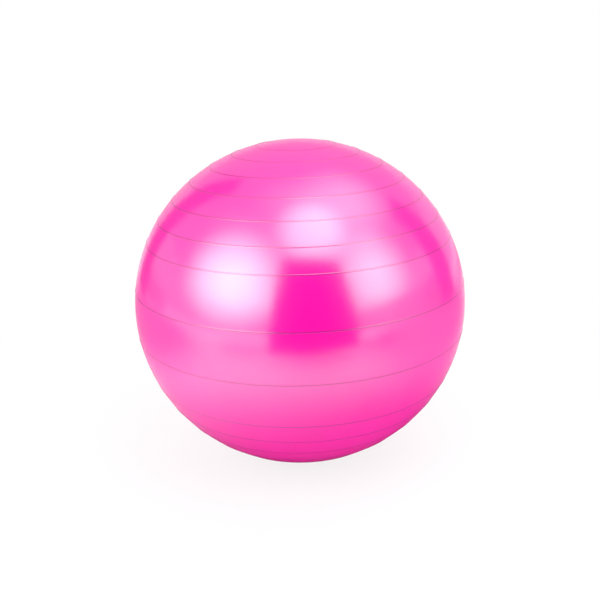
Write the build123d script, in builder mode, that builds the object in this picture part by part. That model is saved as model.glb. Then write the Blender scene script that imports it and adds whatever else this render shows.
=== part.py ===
from build123d import *
from math import cos, hypot, isclose, radians, sin, sqrt
import os

os.makedirs("parts", exist_ok=True)

# Millimetres and degrees. Z runs through the poles and the rings of ribs, the floor is at Z = 0 below
# the middle of the ball, and the valve is at the back, on the +Y side.

# Ball, inflated
EQUATOR_DIAMETER = 650.0
POLE_HEIGHT = 637.0  # pole to pole, before its own weight flattens the bottom
WALL = 1.1
REST_PATCH_RADIUS = 36.0  # flat that the ball's own weight presses against the floor

# Ribs: rings of latitude above and below the equator, at these numbers of equal steps from it
RIB_STEPS = (1, 3, 4, 5, 6, 7, 8, 9)
POLAR_CAP_ANGLE = 13.5  # smooth cap, from the pole to the last rib
RIB_WIDTH = 2.6
RIB_HEIGHT = 0.6
RIB_ROOT_FILLET = 0.3

# Plug
STEM_DIAMETER = 9.1  # over the barbs
STEM_LENGTH = 18.0
STEM_WALL = 1.8  # around the core, between the barbs
CORE_ROOF = 3.0  # solid stem between the core and the head
BARB_COUNT = 3
BARB_HEIGHT = 0.35
BARB_WIDTH = 1.6
TIP_LENGTH = 3.0
TIP_WALL = 0.8
HEAD_OVERHANG = 3.55
HEAD_RIM = 1.5
HEAD_CROWN = 0.3

# Valve body
VALVE_STEP = 2  # in the smooth band between the ribs at steps 1 and 3
INSERT_WALL = 3.6  # around the plug's seat
FLANGE_WIDTH = 5.0
FLANGE_THICKNESS = 1.6
SEAT_FLOOR = 1.5
CUP_WALL = 1.6
NECK_WALL = 3.4
NECK_PAST_TIP = 2.0
BORE_LEAD_IN = 0.5

EDGE_ROUND = 0.25  # every moulded edge of the plug and the valve body

# Fits and clearances
BOND_GAP = 0.05  # weld line around the valve body
FACE_STEP = 0.08  # valve face below the skin at the rim of its hole
PLUG_CLEARANCE = 0.05  # radial, between the barbs and the bore
HEAD_CLEARANCE = 0.3  # radial, between the head and its seat
SEAT_GAP = 0.05  # under the head

# Ball, worked out
equator_radius = EQUATOR_DIAMETER / 2
pole_radius = POLE_HEIGHT / 2
centre_height = pole_radius * sqrt(1 - (REST_PATCH_RADIUS / equator_radius) ** 2)
rib_pitch = (90 - POLAR_CAP_ANGLE) / max(RIB_STEPS)
rib_steps = [side * step for step in RIB_STEPS for side in (1, -1)]


def skin_point(step, depth=0.0):
    """Distance from Z and height of the skin, this many rib steps above the equator, sunk by a depth."""
    latitude = radians(step * rib_pitch)
    outwards = cos(latitude) / equator_radius
    upwards = sin(latitude) / pole_radius
    sink = depth / hypot(outwards, upwards)
    return (
        equator_radius * cos(latitude) - sink * outwards,
        centre_height + pole_radius * sin(latitude) - sink * upwards,
    )


def skin_drop(radius):
    """How far the skin falls away from a tangent plane, this far from where they touch."""
    return pole_radius - sqrt(pole_radius**2 - radius**2)


def half_section(inset):
    """Half section of the ball, this far inside its skin, cut off flat where it rests."""
    with Locations((0, centre_height)):
        Ellipse(equator_radius - inset, pole_radius - inset)
    with Locations((0, inset)):
        Rectangle(EQUATOR_DIAMETER, POLE_HEIGHT, align=(Align.CENTER, Align.MAX), mode=Mode.SUBTRACT)
    with Locations((0, centre_height)):
        Rectangle(EQUATOR_DIAMETER, 2 * POLE_HEIGHT, align=(Align.MAX, Align.CENTER), mode=Mode.SUBTRACT)


def rib_section():
    """Arcs of the ribs, whose middles rise the height of a rib above the skin."""
    arc_radius = (RIB_WIDTH**2 / 4 + RIB_HEIGHT**2) / (2 * RIB_HEIGHT)
    with Locations(*[skin_point(step, depth=arc_radius - RIB_HEIGHT) for step in rib_steps]):
        Circle(arc_radius)


# The valve's axis points out of the ball, square to the skin. Its section plane has X across the axis
# and Y along it, and depths in it are measured inwards from the crown of the skin.
crown_y, crown_z = skin_point(VALVE_STEP)
below_y, below_z = skin_point(VALVE_STEP, depth=1)
crown = Vector(0, crown_y, crown_z)
outwards_at_crown = Vector(0, crown_y - below_y, crown_z - below_z)
valve_axis = Axis(crown, outwards_at_crown)
valve_face = Plane(crown, x_dir=(1, 0, 0), z_dir=outwards_at_crown)
valve_section = Plane(crown, x_dir=(1, 0, 0), z_dir=Vector(1, 0, 0).cross(outwards_at_crown))

stem_radius = STEM_DIAMETER / 2
groove_radius = stem_radius - BARB_HEIGHT
core_radius = groove_radius - STEM_WALL
head_radius = stem_radius + HEAD_OVERHANG
bore_radius = stem_radius + PLUG_CLEARANCE
seat_radius = head_radius + HEAD_CLEARANCE
neck_radius = bore_radius + NECK_WALL
cup_radius = seat_radius + CUP_WALL
insert_radius = seat_radius + INSERT_WALL
flange_radius = insert_radius + FLANGE_WIDTH

face_depth = skin_drop(insert_radius) + FACE_STEP
head_depth = face_depth + HEAD_CROWN + HEAD_RIM
seat_depth = head_depth + SEAT_GAP
tip_depth = head_depth + STEM_LENGTH
neck_depth = tip_depth + NECK_PAST_TIP
cup_depth = seat_depth + SEAT_FLOOR
flange_depth = WALL + BOND_GAP + skin_drop(flange_radius) + FLANGE_THICKNESS


def disc(radius, top, bottom, mode=Mode.ADD):
    """Half section of a disc about the valve's axis, between two depths."""
    with Locations((0, -top)):
        Rectangle(radius, bottom - top, align=(Align.MIN, Align.MAX), mode=mode)


def rims(part, radius):
    """Circular edges of this radius, from the inside of the ball outwards."""
    circles = part.edges().filter_by(GeomType.CIRCLE)
    return circles.filter_by(lambda edge: isclose(edge.radius, radius, rel_tol=1e-6)).sort_by(valve_axis)


# Skin: a thin spheroid, ribbed outside and smooth inside, with a hole for the valve
with BuildPart() as ball_skin:
    with BuildSketch(Plane.XZ):
        half_section(inset=0)
        rib_section()
    revolve(axis=Axis.Z)
    level_edges = ball_skin.edges().filter_by(GeomType.CIRCLE).filter_by(Plane.XY)
    patch_edge, *rib_roots = level_edges.sort_by(Axis.Z)
    fillet(rib_roots, min(RIB_ROOT_FILLET, RIB_HEIGHT / 2))
    with BuildSketch(Plane.XZ):
        half_section(inset=WALL)
    revolve(axis=Axis.Z, mode=Mode.SUBTRACT)
    with BuildSketch(valve_face):
        Circle(insert_radius + BOND_GAP)
    extrude(amount=-flange_depth, mode=Mode.SUBTRACT)
ball_skin.part.label = "ball_skin"
export_step(ball_skin.part, "parts/ball_skin.step")


# Valve body: a flange bonded under the skin, an insert in its hole, a cup under the head and a neck
with BuildPart() as valve_body:
    with BuildSketch(valve_section):
        disc(flange_radius, 0, flange_depth)
    revolve(axis=valve_axis)
    with BuildSketch(Plane.XZ):
        half_section(inset=WALL + BOND_GAP)
    revolve(axis=Axis.Z, mode=Mode.INTERSECT)
    with BuildSketch(valve_section):
        disc(insert_radius, face_depth, flange_depth)
        disc(cup_radius, face_depth, cup_depth)
        disc(neck_radius, face_depth, neck_depth)
    revolve(axis=valve_axis)
    with BuildSketch(valve_section):
        disc(seat_radius, face_depth, seat_depth)
        disc(bore_radius, face_depth, neck_depth)
    revolve(axis=valve_axis, mode=Mode.SUBTRACT)
    chamfer(rims(valve_body, bore_radius), BORE_LEAD_IN)
    outer_rims = [rims(valve_body, radius)[0] for radius in (neck_radius, cup_radius, flange_radius)]
    fillet(outer_rims, EDGE_ROUND)
    fillet([rims(valve_body, radius)[-1] for radius in (seat_radius, insert_radius)], EDGE_ROUND)
valve_body.part.label = "valve_body"
export_step(valve_body.part, "parts/valve_body.step")


# Plug: a crowned head, a barbed stem with a tapered tip, and a core open at the tip
with BuildPart() as valve_plug:
    with BuildSketch(valve_section):
        crown_radius = (head_radius**2 + HEAD_CROWN**2) / (2 * HEAD_CROWN)
        disc(head_radius, face_depth, head_depth)
        with Locations((0, -face_depth - crown_radius)):
            Circle(crown_radius, mode=Mode.INTERSECT)
        shank_depth = tip_depth - TIP_LENGTH
        disc(groove_radius, head_depth, shank_depth)
        barb_pitch = (shank_depth - head_depth) / BARB_COUNT
        for number in range(BARB_COUNT):
            barb_depth = head_depth + (number + 0.5) * barb_pitch
            disc(stem_radius, barb_depth - BARB_WIDTH / 2, barb_depth + BARB_WIDTH / 2)
        Polygon(
            (0, -shank_depth),
            (groove_radius, -shank_depth),
            (core_radius + TIP_WALL, -tip_depth),
            (0, -tip_depth),
            align=None,
        )
        disc(core_radius, head_depth + CORE_ROOF, tip_depth, mode=Mode.SUBTRACT)
    revolve(axis=valve_axis)
    fillet(rims(valve_plug, head_radius), EDGE_ROUND)
    fillet(rims(valve_plug, stem_radius), EDGE_ROUND)
    fillet(rims(valve_plug, core_radius + TIP_WALL), EDGE_ROUND)
valve_plug.part.label = "valve_plug"
export_step(valve_plug.part, "parts/valve_plug.step")
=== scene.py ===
from math import asin, atan2, ceil, cos, hypot, pi, radians, sin, sqrt, tan

import bpy
import numpy as np
from mathutils import Euler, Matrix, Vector


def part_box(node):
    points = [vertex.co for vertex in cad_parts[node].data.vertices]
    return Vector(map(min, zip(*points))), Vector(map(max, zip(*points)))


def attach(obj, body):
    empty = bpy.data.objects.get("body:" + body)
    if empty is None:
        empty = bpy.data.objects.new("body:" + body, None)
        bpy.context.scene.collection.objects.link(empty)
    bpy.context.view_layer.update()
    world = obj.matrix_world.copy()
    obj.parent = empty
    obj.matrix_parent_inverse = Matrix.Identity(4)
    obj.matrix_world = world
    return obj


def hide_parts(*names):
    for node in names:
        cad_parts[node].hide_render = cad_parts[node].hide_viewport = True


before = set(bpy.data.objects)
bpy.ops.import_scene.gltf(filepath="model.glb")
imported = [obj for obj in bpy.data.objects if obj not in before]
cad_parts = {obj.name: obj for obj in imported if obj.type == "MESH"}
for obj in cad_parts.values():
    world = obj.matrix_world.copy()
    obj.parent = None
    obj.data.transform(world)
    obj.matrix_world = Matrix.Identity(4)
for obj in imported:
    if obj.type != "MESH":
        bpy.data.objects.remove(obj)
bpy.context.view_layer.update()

# Metres and degrees. The ball stands on Z = 0, its poles and its rings of ribs are about Z, and its
# valve is at the back, on the +Y side.

# Ball skin, as in the CAD model
PATCH_RADIUS = 0.036  # flat that the ball rests on
WALL = 0.0011
RIB_STEPS = (1, 3, 4, 5, 6, 7, 8, 9)  # equal steps of latitude, above and below the equator
POLAR_CAP_ANGLE = 13.5  # smooth cap, from the pole to the last rib
RIB_WIDTH = 0.0026
RIB_HEIGHT = 0.0006
RIB_ROOT_FILLET = 0.0003
VALVE_STEP = 2
HOLE_RADIUS = 0.01205

# Mesh of the skin
OUTER_SEGMENTS = 264
OUTER_PITCH = 1.8  # of latitude, at most, between two rows of smooth skin
INNER_SEGMENTS = 96
INNER_ROWS = 60
FILLET_ROWS = 3  # on each side of a rib
CROWN_ROWS = 4  # on each side of the middle of a rib
FLAT_RINGS = (0.0, 0.35, 0.7, 1.0)  # radii of the rings on the flat, over its own
INNER_FLAT_RINGS = (0.0, 0.5)
HOLE_SEGMENTS = 72
HOLE_RINGS = (1.7, 1.4, 1.2, 1.08)  # radii of the rings around the hole, over its own
HOLE_ROUND = 0.00015  # small round on the outer edge of the hole
HOLE_ROUND_LEANS = (45, 90)  # of the surface, at the rings along that round
HOLE_REACH = 0.026  # from the valve's axis to the plain grid
RIB_MARK = 0.00001  # what stands farther out of the skin than this belongs to a rib
RIB_SHADE = 0.3  # lean of a rib's shaded surface, as a share of its real lean

# Finish. Each colour drifts between a plain and a deep one.
PEARL_PINK = (0.98, 0.003, 0.41)
PEARL_PINK_DEEP = (0.96, 0.003, 0.39)
PEARL_IOR = 2.75  # high, because mica mirrors more than plain vinyl
PEARL_TINT = (1.0, 1.0, 0.92)
# The ribs' colours and lower IOR are painted shade: deeper and duller than the skin, for the thin dark lines
# along the ribs.
RIB_PAINTED_SHADE_PINK = (0.64, 0.003, 0.29)
RIB_PAINTED_SHADE_PINK_DEEP = (0.6, 0.003, 0.27)
RIB_IOR = 2.5
VALVE_PINK = (0.86, 0.02, 0.24)
VALVE_PINK_DEEP = (0.78, 0.015, 0.20)
PLUG_WHITE = (0.78, 0.78, 0.76)
PLUG_WHITE_DEEP = (0.73, 0.73, 0.71)
NOISE_LOW = 0.3  # nearly all of Blender's noise lies between these two
NOISE_HIGH = 0.7

# Stage. A glow is its share at the ball, how far away it starts to rise, and how far away it is all.
STAGE_RADIUS = 7.0
STAGE_HEIGHT = 2.8
STAGE_WHITE = 0.92
FLOOR_DROP = -0.001
FLOOR_GLOW = (0.82, 0.35, 1.1)
FLOOR_MIRROR_GLOW = (0.4, 2.2, 5.0)
WALL_GLOW = (1.0, 1.0, 2.0)
WALL_MIRROR_GLOW = (0.15, 9.0, 10.0)
WALL_SEGMENTS = 96
SHADE_DROP = -0.0003  # of a shade without a core: above the floor, and under the ball
SHADE_CORE_DROP = -0.0004  # this times its core is added, so that no two shades lie at one height
BLACK = 0.003
GREY = 0.12
PALE_GREY = 0.35

# Light and camera
WORLD_LEVEL = 0.5
LIGHT_DISTANCE = 3.2
CAMERA_DISTANCE = 1.735
CAMERA_ELEVATION = 17.9
CAMERA_LENS = 51.93
CAMERA_ROLL = -1.7

skin_low, skin_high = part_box("ball_skin")
equator_radius = (skin_high.x - skin_low.x) / 2
centre_share = sqrt(1 - (PATCH_RADIUS / equator_radius) ** 2)
pole_radius = skin_high.z / (1 + centre_share)
centre = Vector((0, 0, pole_radius * centre_share))
rib_pitch = radians(90 - POLAR_CAP_ANGLE) / max(RIB_STEPS)


# ---------------------------------------------------------------- spheroid
def spheroid_point(latitude, inset=0.0):
    """Distance from Z and height of the spheroid this far inside the skin."""
    across = (equator_radius - inset) * cos(latitude)
    return across, centre.z + (pole_radius - inset) * sin(latitude)


def spheroid_normal(latitude):
    """How far the skin's unit normal points away from Z, and how far up."""
    across = cos(latitude) / equator_radius
    upwards = sin(latitude) / pole_radius
    length = hypot(across, upwards)
    return across / length, upwards / length


# The valve's axis leaves the ball along valve_out, and valve_side and valve_up are square to it.
crown_y, crown_z = spheroid_point(VALVE_STEP * rib_pitch)
crown = Vector((0, crown_y, crown_z))
valve_out = Vector((0, *spheroid_normal(VALVE_STEP * rib_pitch)))
valve_side = Vector((1, 0, 0))
valve_up = valve_out.cross(valve_side)


# ---------------------------------------------------------------- mesh code
class Shell:
    """A surface in the making: points, their outward normals, and faces."""

    def __init__(self):
        self.points, self.normals, self.faces = [], [], []

    def add(self, point, normal):
        """Takes a point in and returns its number."""
        self.points.append(tuple(point))
        self.normals.append(tuple(normal))
        return len(self.points) - 1

    def band(self, outer, inner):
        """Quads from a loop of points to the next loop inside it."""
        self.faces += zip(outer, outer[1:] + outer[:1], inner[1:] + inner[:1], inner)

    def fan(self, loop, middle):
        """Triangles from a loop of points to one point inside it."""
        self.faces += [(a, b, middle) for a, b in zip(loop, loop[1:] + loop[:1])]

    def append(self, other, flip=False):
        """Takes another shell in, turned inside out if flip is set. Returns how far its numbers move."""
        start = len(self.points)
        self.points += other.points
        self.normals += [tuple(-n for n in normal) if flip else normal for normal in other.normals]
        step = -1 if flip else 1
        self.faces += [tuple(start + corner for corner in face[::step]) for face in other.faces]
        return start

    def made(self, name):
        """The object, with only the points that its faces use."""
        used = sorted({corner for face in self.faces for corner in face})
        number = {corner: place for place, corner in enumerate(used)}
        mesh = bpy.data.meshes.new(name)
        faces = [tuple(number[corner] for corner in face) for face in self.faces]
        mesh.from_pydata([self.points[corner] for corner in used], [], faces)
        mesh.normals_split_custom_set_from_vertices([self.normals[corner] for corner in used])
        piece = bpy.data.objects.new(name, mesh)
        bpy.context.scene.collection.objects.link(piece)
        return piece


def revolved(section, segments):
    """A shell turned about Z from rows of (across, height, normal across, normal up), bottom to top."""
    shell = Shell()
    turns = [2 * pi * (number + 0.5) / segments for number in range(segments)]
    loops = []
    for across, height, normal_across, normal_up in section[1:-1]:
        loop = []
        for turn in turns:
            point = (across * cos(turn), across * sin(turn), height)
            normal = (normal_across * cos(turn), normal_across * sin(turn), normal_up)
            loop.append(shell.add(point, normal))
        loops.append(loop)
    for lower, upper in zip(loops, loops[1:]):
        shell.band(lower, upper)
    shell.fan(loops[0][::-1], shell.add((0, 0, section[0][1]), (0, 0, -1)))
    shell.fan(loops[-1], shell.add((0, 0, section[-1][1]), (0, 0, 1)))
    return shell


# ---------------------------------------------------------------- ball skin
def rib_samples():
    """Across a rib: distance from its middle, height over the skin, and lean of its surface."""
    arc_radius = (RIB_WIDTH**2 / 4 + RIB_HEIGHT**2) / (2 * RIB_HEIGHT)
    arc_depth = arc_radius - RIB_HEIGHT
    rounded = arc_radius + RIB_ROOT_FILLET
    root = sqrt(rounded**2 - (arc_depth + RIB_ROOT_FILLET) ** 2)
    steepest = asin(root / rounded)
    side = []
    for lean in np.linspace(0, steepest, FILLET_ROWS, endpoint=False):
        side.append((root - RIB_ROOT_FILLET * sin(lean), RIB_ROOT_FILLET * (1 - cos(lean)), lean))
    for lean in np.linspace(steepest, 0, CROWN_ROWS, endpoint=False):
        side.append((arc_radius * sin(lean), arc_radius * cos(lean) - arc_depth, lean))
    mirrored = [(-distance, rise, -lean) for distance, rise, lean in side]
    return mirrored + [(0.0, RIB_HEIGHT, 0.0)] + side[::-1]


def plain_rows(start, end):
    """Rows of the smooth skin between two latitudes, without its ends."""
    count = ceil((end - start) / radians(OUTER_PITCH))
    latitudes = np.linspace(start, end, count, endpoint=False)[1:]
    return [(*spheroid_point(here), *spheroid_normal(here)) for here in latitudes]


def rib_rows(rib):
    """Rows across the rib at this latitude. Their normals lean less than it does, so that its narrow
    sides share the gloss around them."""
    pace = hypot(equator_radius * sin(rib), pole_radius * cos(rib))
    rows = []
    for distance, rise, lean in rib_samples():
        here = rib + distance / pace
        across, height = spheroid_point(here)
        out, up = spheroid_normal(here)
        shade = RIB_SHADE * lean
        turned = (out * cos(shade) - up * sin(shade), up * cos(shade) + out * sin(shade))
        rows.append((across + rise * out, height + rise * up, *turned))
    return rows


def outer_section():
    """Section of the outside of the skin, from the middle of its flat up to the pole."""
    section = [(PATCH_RADIUS * share, 0.0, 0.0, -1.0) for share in FLAT_RINGS]
    reach = rib_samples()[-1][0] / pole_radius
    latitude = -asin(centre_share)
    for rib in sorted(side * step * rib_pitch for step in RIB_STEPS for side in (-1, 1)):
        section += plain_rows(latitude, rib - reach) + rib_rows(rib)
        latitude = rib + reach
    return section + plain_rows(latitude, pi / 2) + [(0.0, centre.z + pole_radius, 0.0, 1.0)]


def inner_section():
    """The same for the smooth inside of the skin."""
    lowest = -asin((centre.z - WALL) / (pole_radius - WALL))
    latitudes = np.linspace(lowest, pi / 2, INNER_ROWS)
    flat = [(PATCH_RADIUS * share, WALL, 0.0, -1.0) for share in INNER_FLAT_RINGS]
    return flat + [(*spheroid_point(here, WALL), *spheroid_normal(here)) for here in latitudes]


def valve_polar(point):
    """Distance of a point from the valve's axis, its angle about it, and its height along it."""
    offset = Vector(point) - crown
    side, up = offset.dot(valve_side), offset.dot(valve_up)
    return hypot(side, up), atan2(up, side) % (2 * pi), offset.dot(valve_out)


def hole_ring(shell, radius, inset):
    """A ring of points about the valve's axis, on the spheroid this far inside the skin."""
    across, upright = equator_radius - inset, pole_radius - inset
    ring = []
    for number in range(HOLE_SEGMENTS):
        turn = 2 * pi * number / HOLE_SEGMENTS
        start = crown - centre + radius * (cos(turn) * valve_side + sin(turn) * valve_up)
        # Where the line from start along valve_out meets the spheroid, both scaled to a unit ball
        scaled = Vector((start.x / across, start.y / across, start.z / upright))
        step = Vector((valve_out.x / across, valve_out.y / across, valve_out.z / upright))
        along = scaled.dot(step)
        root = sqrt(along**2 - step.length_squared * (scaled.length_squared - 1))
        place = start + (root - along) / step.length_squared * valve_out
        normal = Vector((place.x / across**2, place.y / across**2, place.z / upright**2)).normalized()
        ring.append(shell.add(place + centre, normal))
    return ring


def open_hole(shell, inset, last_radius):
    """Swaps the grid around the valve for rings that close in on its hole. Returns the last ring."""
    reached = set()
    for number, point in enumerate(shell.points):
        distance, _, height = valve_polar(point)
        if distance < HOLE_REACH and height > -HOLE_REACH:
            reached.add(number)
    cut = [face for face in shell.faces if reached.intersection(face)]
    shell.faces = [face for face in shell.faces if not reached.intersection(face)]

    # The edge of the opening, one point after another, from the valve's angle 0 on
    steps = {(a, b) for face in cut for a, b in zip(face, face[1:] + face[:1])}
    follows = {a: b for a, b in steps if (b, a) not in steps}
    edge = [min(follows, key=lambda number: valve_polar(shell.points[number])[1])]
    while len(edge) < len(follows):
        edge.append(follows[edge[-1]])

    rings = [hole_ring(shell, share * HOLE_RADIUS, inset) for share in HOLE_RINGS]
    rings.append(hole_ring(shell, last_radius, inset))
    for outer, inner in zip(rings, rings[1:]):
        shell.band(outer, inner)

    # Triangles between the edge and the first ring, which have different numbers of points
    edge_turns = [valve_polar(shell.points[number])[1] for number in edge] + [2 * pi]
    ring_turns = [valve_polar(shell.points[number])[1] for number in rings[0]] + [2 * pi]
    edge.append(edge[0])
    ring = rings[0] + rings[0][:1]
    e = r = 0
    while e < len(edge) - 1 or r < len(ring) - 1:
        if r == len(ring) - 1 or (e < len(edge) - 1 and edge_turns[e + 1] < ring_turns[r + 1]):
            shell.faces.append((edge[e], edge[e + 1], ring[r]))
            e += 1
        else:
            shell.faces.append((edge[e], ring[r + 1], ring[r]))
            r += 1
    return rings[-1]


def make_skin():
    """The whole skin as one closed mesh: outside, inside, and the wall of the valve's hole."""
    skin = revolved(outer_section(), OUTER_SEGMENTS)
    last = open_hole(skin, 0.0, HOLE_RADIUS + HOLE_ROUND)
    for lean in map(radians, HOLE_ROUND_LEANS):
        radius = HOLE_RADIUS + HOLE_ROUND * (1 - sin(lean))
        ring = hole_ring(skin, radius, HOLE_ROUND * (1 - cos(lean)))
        for number in ring:
            inwards = (Vector(skin.points[number]) - crown).cross(valve_out).cross(valve_out).normalized()
            skin.normals[number] = tuple(cos(lean) * valve_out + sin(lean) * inwards)
        skin.band(last, ring)
        last = ring
    inside = revolved(inner_section(), INNER_SEGMENTS)
    inside_ring = open_hole(inside, WALL, HOLE_RADIUS)
    start = skin.append(inside, flip=True)
    skin.band(last, [start + number for number in inside_ring])
    return skin.made("ball_skin_shell")


def paint_ribs(mesh, slot_number):
    """Gives the faces of the ribs, which stand out of the skin, a material slot of their own."""
    for face in mesh.polygons:
        across = hypot(face.center.x, face.center.y)
        reach = hypot(across / equator_radius, (face.center.z - centre.z) / pole_radius)
        if reach > 1 + RIB_MARK / equator_radius:
            face.material_index = slot_number


# ---------------------------------------------------------------- materials
def new_material(name):
    """A material, its node tree and its shader."""
    material = bpy.data.materials.new(name)
    material.use_nodes = True
    tree = material.node_tree
    return material, tree, tree.nodes["Principled BSDF"]


def mapped(tree, value, start, end, first, last, kind="SMOOTHSTEP"):
    """Goes from first to last as a socket's value goes from start to end. Returns the socket."""
    span = tree.nodes.new("ShaderNodeMapRange")
    span.interpolation_type = kind
    span.inputs["From Min"].default_value = start
    span.inputs["From Max"].default_value = end
    span.inputs["To Min"].default_value = first
    span.inputs["To Max"].default_value = last
    tree.links.new(value, span.inputs["Value"])
    return span.outputs["Result"]


def distance_from(tree, point, place):
    """Distance of a place, which is a socket, from a point. Returns the socket."""
    reach = tree.nodes.new("ShaderNodeVectorMath")
    reach.operation = "DISTANCE"
    reach.inputs[1].default_value = point
    tree.links.new(place, reach.inputs[0])
    return reach.outputs["Value"]


def noise(tree, scale, detail=2.0, low=0.0, high=1.0):
    """Noise over the object's own coordinates, stretched to a range. Returns the socket."""
    place = tree.nodes.new("ShaderNodeTexCoord")
    texture = tree.nodes.new("ShaderNodeTexNoise")
    texture.inputs["Scale"].default_value = scale
    texture.inputs["Detail"].default_value = detail
    tree.links.new(place.outputs["Object"], texture.inputs["Vector"])
    return mapped(tree, texture.outputs["Fac"], NOISE_LOW, NOISE_HIGH, low, high, kind="LINEAR")


def bumped(tree, height, distance, below=None):
    """A bump from a height socket, over another bump if one is given."""
    bump = tree.nodes.new("ShaderNodeBump")
    bump.inputs["Distance"].default_value = distance
    tree.links.new(height, bump.inputs["Height"])
    if below:
        tree.links.new(below, bump.inputs["Normal"])
    return bump.outputs["Normal"]


def drifting_material(name, colour, deep_colour, colour_scale, roughness_noise):
    """A material whose colour and roughness drift over the piece. Returns it, its tree and its shader."""
    material, tree, shader = new_material(name)
    mix = tree.nodes.new("ShaderNodeMix")
    mix.data_type = "RGBA"
    mix.inputs["A"].default_value = (*colour, 1)
    mix.inputs["B"].default_value = (*deep_colour, 1)
    tree.links.new(noise(tree, colour_scale), mix.inputs["Factor"])
    tree.links.new(mix.outputs["Result"], shader.inputs["Base Color"])
    tree.links.new(noise(tree, **roughness_noise), shader.inputs["Roughness"])
    return material, tree, shader


def pearl_vinyl():
    """Glossy pearl-pink vinyl, whose mica gives it a broad metallic gloss."""
    roughness = dict(scale=14.0, detail=3.0, low=0.18, high=0.21)
    material, tree, shader = drifting_material(
        "pearl_pink_vinyl", PEARL_PINK, PEARL_PINK_DEEP, colour_scale=9.0, roughness_noise=roughness
    )
    shader.inputs["IOR"].default_value = PEARL_IOR
    shader.inputs["Specular Tint"].default_value = (*PEARL_TINT, 1)
    flakes = bumped(tree, noise(tree, scale=2600.0, detail=1.0), distance=0.000004)
    waves = bumped(tree, noise(tree, scale=22.0), distance=0.00006, below=flakes)
    tree.links.new(waves, shader.inputs["Normal"])
    return material


def rib_vinyl_painted_shade():
    """The ribs: the same vinyl, deeper in colour and less bright. This is painted shade, for the thin dark
    lines that the ribs show.
    """
    roughness = dict(scale=120.0, low=0.20, high=0.24)
    material, _, shader = drifting_material(
        "rib_vinyl_painted_shade", RIB_PAINTED_SHADE_PINK, RIB_PAINTED_SHADE_PINK_DEEP, colour_scale=40.0, roughness_noise=roughness
    )
    shader.inputs["IOR"].default_value = RIB_IOR
    return material


def valve_vinyl():
    """The same vinyl, moulded satin and a little deeper in colour."""
    roughness = dict(scale=500.0, low=0.34, high=0.46)
    material, tree, shader = drifting_material(
        "valve_vinyl", VALVE_PINK, VALVE_PINK_DEEP, colour_scale=260.0, roughness_noise=roughness
    )
    grain = bumped(tree, noise(tree, scale=2200.0), distance=0.00001)
    tree.links.new(grain, shader.inputs["Normal"])
    return material


def plug_plastic():
    """White moulded plastic with a fine grain."""
    roughness = dict(scale=700.0, low=0.28, high=0.38)
    material, tree, shader = drifting_material(
        "plug_white_plastic", PLUG_WHITE, PLUG_WHITE_DEEP, colour_scale=300.0, roughness_noise=roughness
    )
    grain = bumped(tree, noise(tree, scale=2600.0), distance=0.000008)
    tree.links.new(grain, shader.inputs["Normal"])
    return material


def matt_material(name, level):
    """Matt grey of one level, for the stage. Returns it, its tree and its shader."""
    material, tree, shader = new_material(name)
    shader.inputs["Base Color"].default_value = (level, level, level, 1)
    shader.inputs["Roughness"].default_value = 1.0
    shader.inputs["Specular IOR Level"].default_value = 0.0
    return material, tree, shader


def pale_stage(name, camera_glow, mirror_glow):
    """Matt white with its own light and shadow, which rays to the camera and through gloss and glass
    see more as plain white the farther it is from the ball."""
    material, tree, shader = matt_material(name, STAGE_WHITE)
    place = tree.nodes.new("ShaderNodeTexCoord")
    reach = distance_from(tree, (0, 0, 0), place.outputs["Object"])
    path = tree.nodes.new("ShaderNodeLightPath")
    glows = {"Is Camera Ray": camera_glow, "Is Glossy Ray": mirror_glow, "Is Transmission Ray": mirror_glow}
    total = None
    for kind, (share_here, start, end) in glows.items():
        added = tree.nodes.new("ShaderNodeMath")
        added.operation = "MULTIPLY_ADD"
        added.inputs[2].default_value = 0.0
        tree.links.new(path.outputs[kind], added.inputs[0])
        tree.links.new(mapped(tree, reach, start, end, share_here, 1.0), added.inputs[1])
        if total:
            tree.links.new(total, added.inputs[2])
        total = added.outputs["Value"]
    glow = tree.nodes.new("ShaderNodeEmission")
    mix = tree.nodes.new("ShaderNodeMixShader")
    tree.links.new(total, mix.inputs["Fac"])
    tree.links.new(shader.outputs["BSDF"], mix.inputs[1])
    tree.links.new(glow.outputs["Emission"], mix.inputs[2])
    tree.links.new(mix.outputs["Shader"], tree.nodes["Material Output"].inputs["Surface"])
    return material


# ---------------------------------------------------------------- pieces
ball = make_skin()
ball.data.materials.append(pearl_vinyl())
# The ribs' material carries painted shade, a deeper and duller vinyl for their thin dark lines.
ball.data.materials.append(rib_vinyl_painted_shade())
paint_ribs(ball.data, slot_number=1)
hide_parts("ball_skin")
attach(ball, "ball")

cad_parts["valve_body"].material_slots[0].material = valve_vinyl()
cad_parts["valve_plug"].material_slots[0].material = plug_plastic()


# ---------------------------------------------------------------- stage
def staged(name, points, faces, material):
    """An object of the stage."""
    mesh = bpy.data.meshes.new(name)
    mesh.from_pydata(points, [], faces)
    mesh.materials.append(material)
    piece = bpy.data.objects.new(name, mesh)
    bpy.context.scene.collection.objects.link(piece)
    return piece


def card(name, middle, facing, width, height, material, taper=1.0):
    """A flat card, upright where it can be. Its top edge is its width times the taper."""
    x, y = width / 2, height / 2
    corners = [(-x, -y, 0), (x, -y, 0), (x * taper, y, 0), (-x * taper, y, 0)]
    piece = staged(name, corners, [(0, 1, 2, 3)], material)
    piece.location = middle
    piece.rotation_euler = Vector(facing).to_track_quat("Z", "Y").to_euler()
    return piece


def round_wall(name, radius, height, material):
    """A low wall all around, which faces the ball."""
    turns = [2 * pi * number / WALL_SEGMENTS for number in range(WALL_SEGMENTS)]
    foot = [(radius * cos(turn), radius * sin(turn), FLOOR_DROP) for turn in turns]
    top = [(x, y, height) for x, y, _ in foot]
    faces = []
    for here in range(WALL_SEGMENTS):
        after = (here + 1) % WALL_SEGMENTS
        faces.append((here, here + WALL_SEGMENTS, after + WALL_SEGMENTS, after))
    staged(name, foot + top, faces, material)


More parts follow.
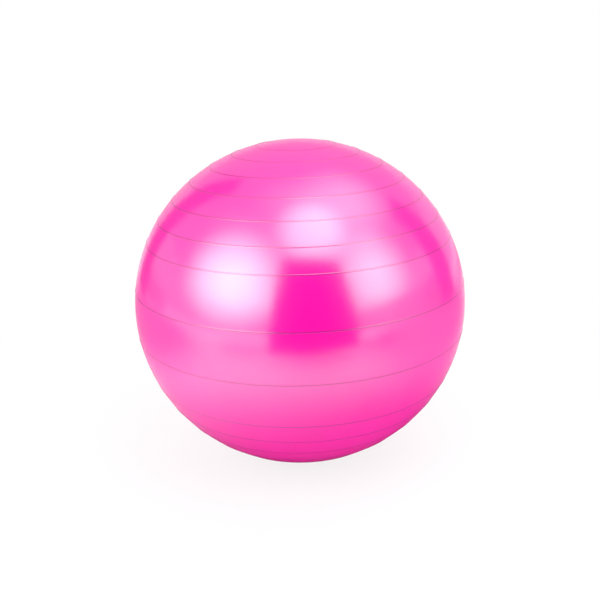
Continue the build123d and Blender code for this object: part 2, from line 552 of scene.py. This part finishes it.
def floor_shade(name, x, y, radius, core, share):
    """A round shadow on the floor that only reflections see. Its core, a share of its radius, is this
    dark, and the rest fades out."""
    material, tree, shader = matt_material(name, 0.0)
    place = tree.nodes.new("ShaderNodeTexCoord")
    reach = distance_from(tree, (0, 0, 0), place.outputs["Object"])
    tree.links.new(mapped(tree, reach, radius * core, radius, share, 0.0), shader.inputs["Alpha"])
    middle = (x, y, SHADE_DROP + SHADE_CORE_DROP * core)
    piece = card(name, middle, (0, 0, 1), 2 * radius, 2 * radius, material)
    piece.visible_camera = piece.visible_diffuse = piece.visible_shadow = False


floor_paint = pale_stage("pale_floor", FLOOR_GLOW, FLOOR_MIRROR_GLOW)
card("floor", (0, 0, FLOOR_DROP), (0, 0, 1), 2 * STAGE_RADIUS, 2 * STAGE_RADIUS, floor_paint)
wall_paint = pale_stage("pale_wall", WALL_GLOW, WALL_MIRROR_GLOW)
round_wall("pale_wall", STAGE_RADIUS, STAGE_HEIGHT, wall_paint)

# Flags: cards that the ball mirrors. The front one makes its tall dark patch, and the next two make the
# dark bands at its sides. The low ones hide the foot of the wall, in reflections alone.
black = matt_material("black_card", BLACK)[0]
grey = matt_material("grey_card", GREY)[0]
pale_grey = matt_material("pale_grey_card", PALE_GREY)[0]
flags = [
    card("front_flag", (0.22, -1.33, 0.8), (0, 1, 0), width=1.36, height=1.6, material=black, taper=0.77),
    card("left_flag", (-1.83, 1.59, 1.9), (1, -0.87, 0), width=0.8, height=3.8, material=grey),
    card("right_flag", (2.21, 0.87, 1.2), (-1, -0.39, 0), width=0.85, height=2.4, material=grey),
]
low_flags = [
    card("low_right_flag", (2.71, -1.36, 0.4), (-0.95, 0.31, 0), width=4.5, height=0.76, material=pale_grey),
    card("low_left_flag", (-2.75, 1.2, 0.25), (0.92, -0.4, 0), width=1.7, height=0.46, material=pale_grey),
]
for flag in flags:
    flag.visible_camera = False
for flag in low_flags:
    flag.visible_camera = flag.visible_diffuse = flag.visible_shadow = False

floor_shade("near_shade", x=0.1, y=-0.1, radius=0.72, core=0.2, share=0.9)
floor_shade("flag_shade", x=0.2, y=-1.2, radius=0.75, core=0.1, share=0.5)
floor_shade("left_foot_shade", x=-0.9, y=-1.45, radius=0.8, core=0.3, share=0.4)
floor_shade("right_foot_shade", x=1.3, y=-1.35, radius=0.75, core=0.4, share=0.5)
floor_shade("left_shade", x=-1.65, y=0.5, radius=1.5, core=0.5, share=0.6)
floor_shade("right_shade", x=2.0, y=-0.1, radius=1.9, core=0.6, share=0.65)
floor_shade("back_shade", x=1.4, y=2.0, radius=1.0, core=0.25, share=0.5)


# ---------------------------------------------------------------- light
def direction(azimuth, elevation):
    """Unit vector from the ball: azimuth 0 is towards the camera and 90 to its right."""
    turn, rise = radians(azimuth), radians(elevation)
    return Vector((sin(turn) * cos(rise), -cos(turn) * cos(rise), sin(rise)))


def area_light(name, middle, back, width, height, radiance, core, mirrored):
    """A big area light with its back to one side. Its oval middle, this share of it, is as bright as a
    white surface this many times over, and the rest fades out. Only a mirrored one shows in gloss."""
    light = bpy.data.lights.new(name, "AREA")
    light.shape = "RECTANGLE"
    light.size, light.size_y = width, height
    light.energy = radiance * pi * light.size * light.size_y
    light.use_nodes = True
    tree = light.node_tree
    place = tree.nodes.new("ShaderNodeNewGeometry")
    # Parametric coordinates go from 0 to 1 across the light, so its rim is 0.5 from their middle.
    reach = distance_from(tree, (0.5, 0.5, 0), place.outputs["Parametric"])
    strength = mapped(tree, reach, 0.5 * core, 0.5, 1.0, 0.0)
    tree.links.new(strength, tree.nodes["Emission"].inputs["Strength"])
    piece = bpy.data.objects.new(name, light)
    piece.location = middle
    piece.rotation_euler = Vector(back).to_track_quat("Z", "Y").to_euler()
    piece.visible_camera = False
    piece.visible_glossy = mirrored
    bpy.context.scene.collection.objects.link(piece)


def softbox(name, azimuth, elevation, width, height, radiance, core=0.0, mirrored=True):
    """An area light that faces the ball, this many degrees wide and high as the ball sees it."""
    away = direction(azimuth, elevation)
    spans = [2 * LIGHT_DISTANCE * tan(radians(angle / 2)) for angle in (width, height)]
    area_light(name, centre + LIGHT_DISTANCE * away, away, *spans, radiance, core, mirrored)


softbox("left_softbox", azimuth=-48, elevation=27, width=84, height=68, radiance=3.75)
softbox("right_softbox", azimuth=54, elevation=27, width=64, height=64, radiance=2.4)
softbox("top_softbox", azimuth=17, elevation=62, width=50, height=55, radiance=2.35, core=0.25)
softbox("high_softbox", azimuth=86, elevation=65, width=74, height=60, radiance=1.3)
softbox("upper_softbox", azimuth=-48, elevation=54, width=80, height=40, radiance=0.4)
softbox("zenith_softbox", azimuth=-40, elevation=86, width=50, height=50, radiance=0.4)

# Fills, which only light. The one on the floor lights the underside of the ball.
softbox("front_fill", azimuth=50, elevation=15, width=110, height=80, radiance=1.0, core=0.4, mirrored=False)
softbox("back_fill", azimuth=180, elevation=25, width=110, height=80, radiance=1.1, core=0.4, mirrored=False)
area_light(
    "floor_fill", (0.2, -0.75, 0.002), (0, 0, -1),
    width=2.2, height=1.3, radiance=0.5, core=0.3, mirrored=False,
)

world = bpy.data.worlds.new("white_room")
world.use_nodes = True
world.node_tree.nodes["Background"].inputs["Color"].default_value = (1, 1, 1, 1)
world.node_tree.nodes["Background"].inputs["Strength"].default_value = WORLD_LEVEL
bpy.context.scene.world = world


# ---------------------------------------------------------------- camera
camera_data = bpy.data.cameras.new("camera")
camera_data.lens = CAMERA_LENS
camera = bpy.data.objects.new("camera", camera_data)
away = direction(0, CAMERA_ELEVATION)
camera.location = centre + CAMERA_DISTANCE * away
camera.rotation_mode = "QUATERNION"
roll = Euler((0, 0, radians(CAMERA_ROLL))).to_quaternion()
camera.rotation_quaternion = away.to_track_quat("Z", "Y") @ roll
bpy.context.scene.collection.objects.link(camera)
bpy.context.scene.camera = camera
bpy.context.scene.view_settings.view_transform = "Standard"
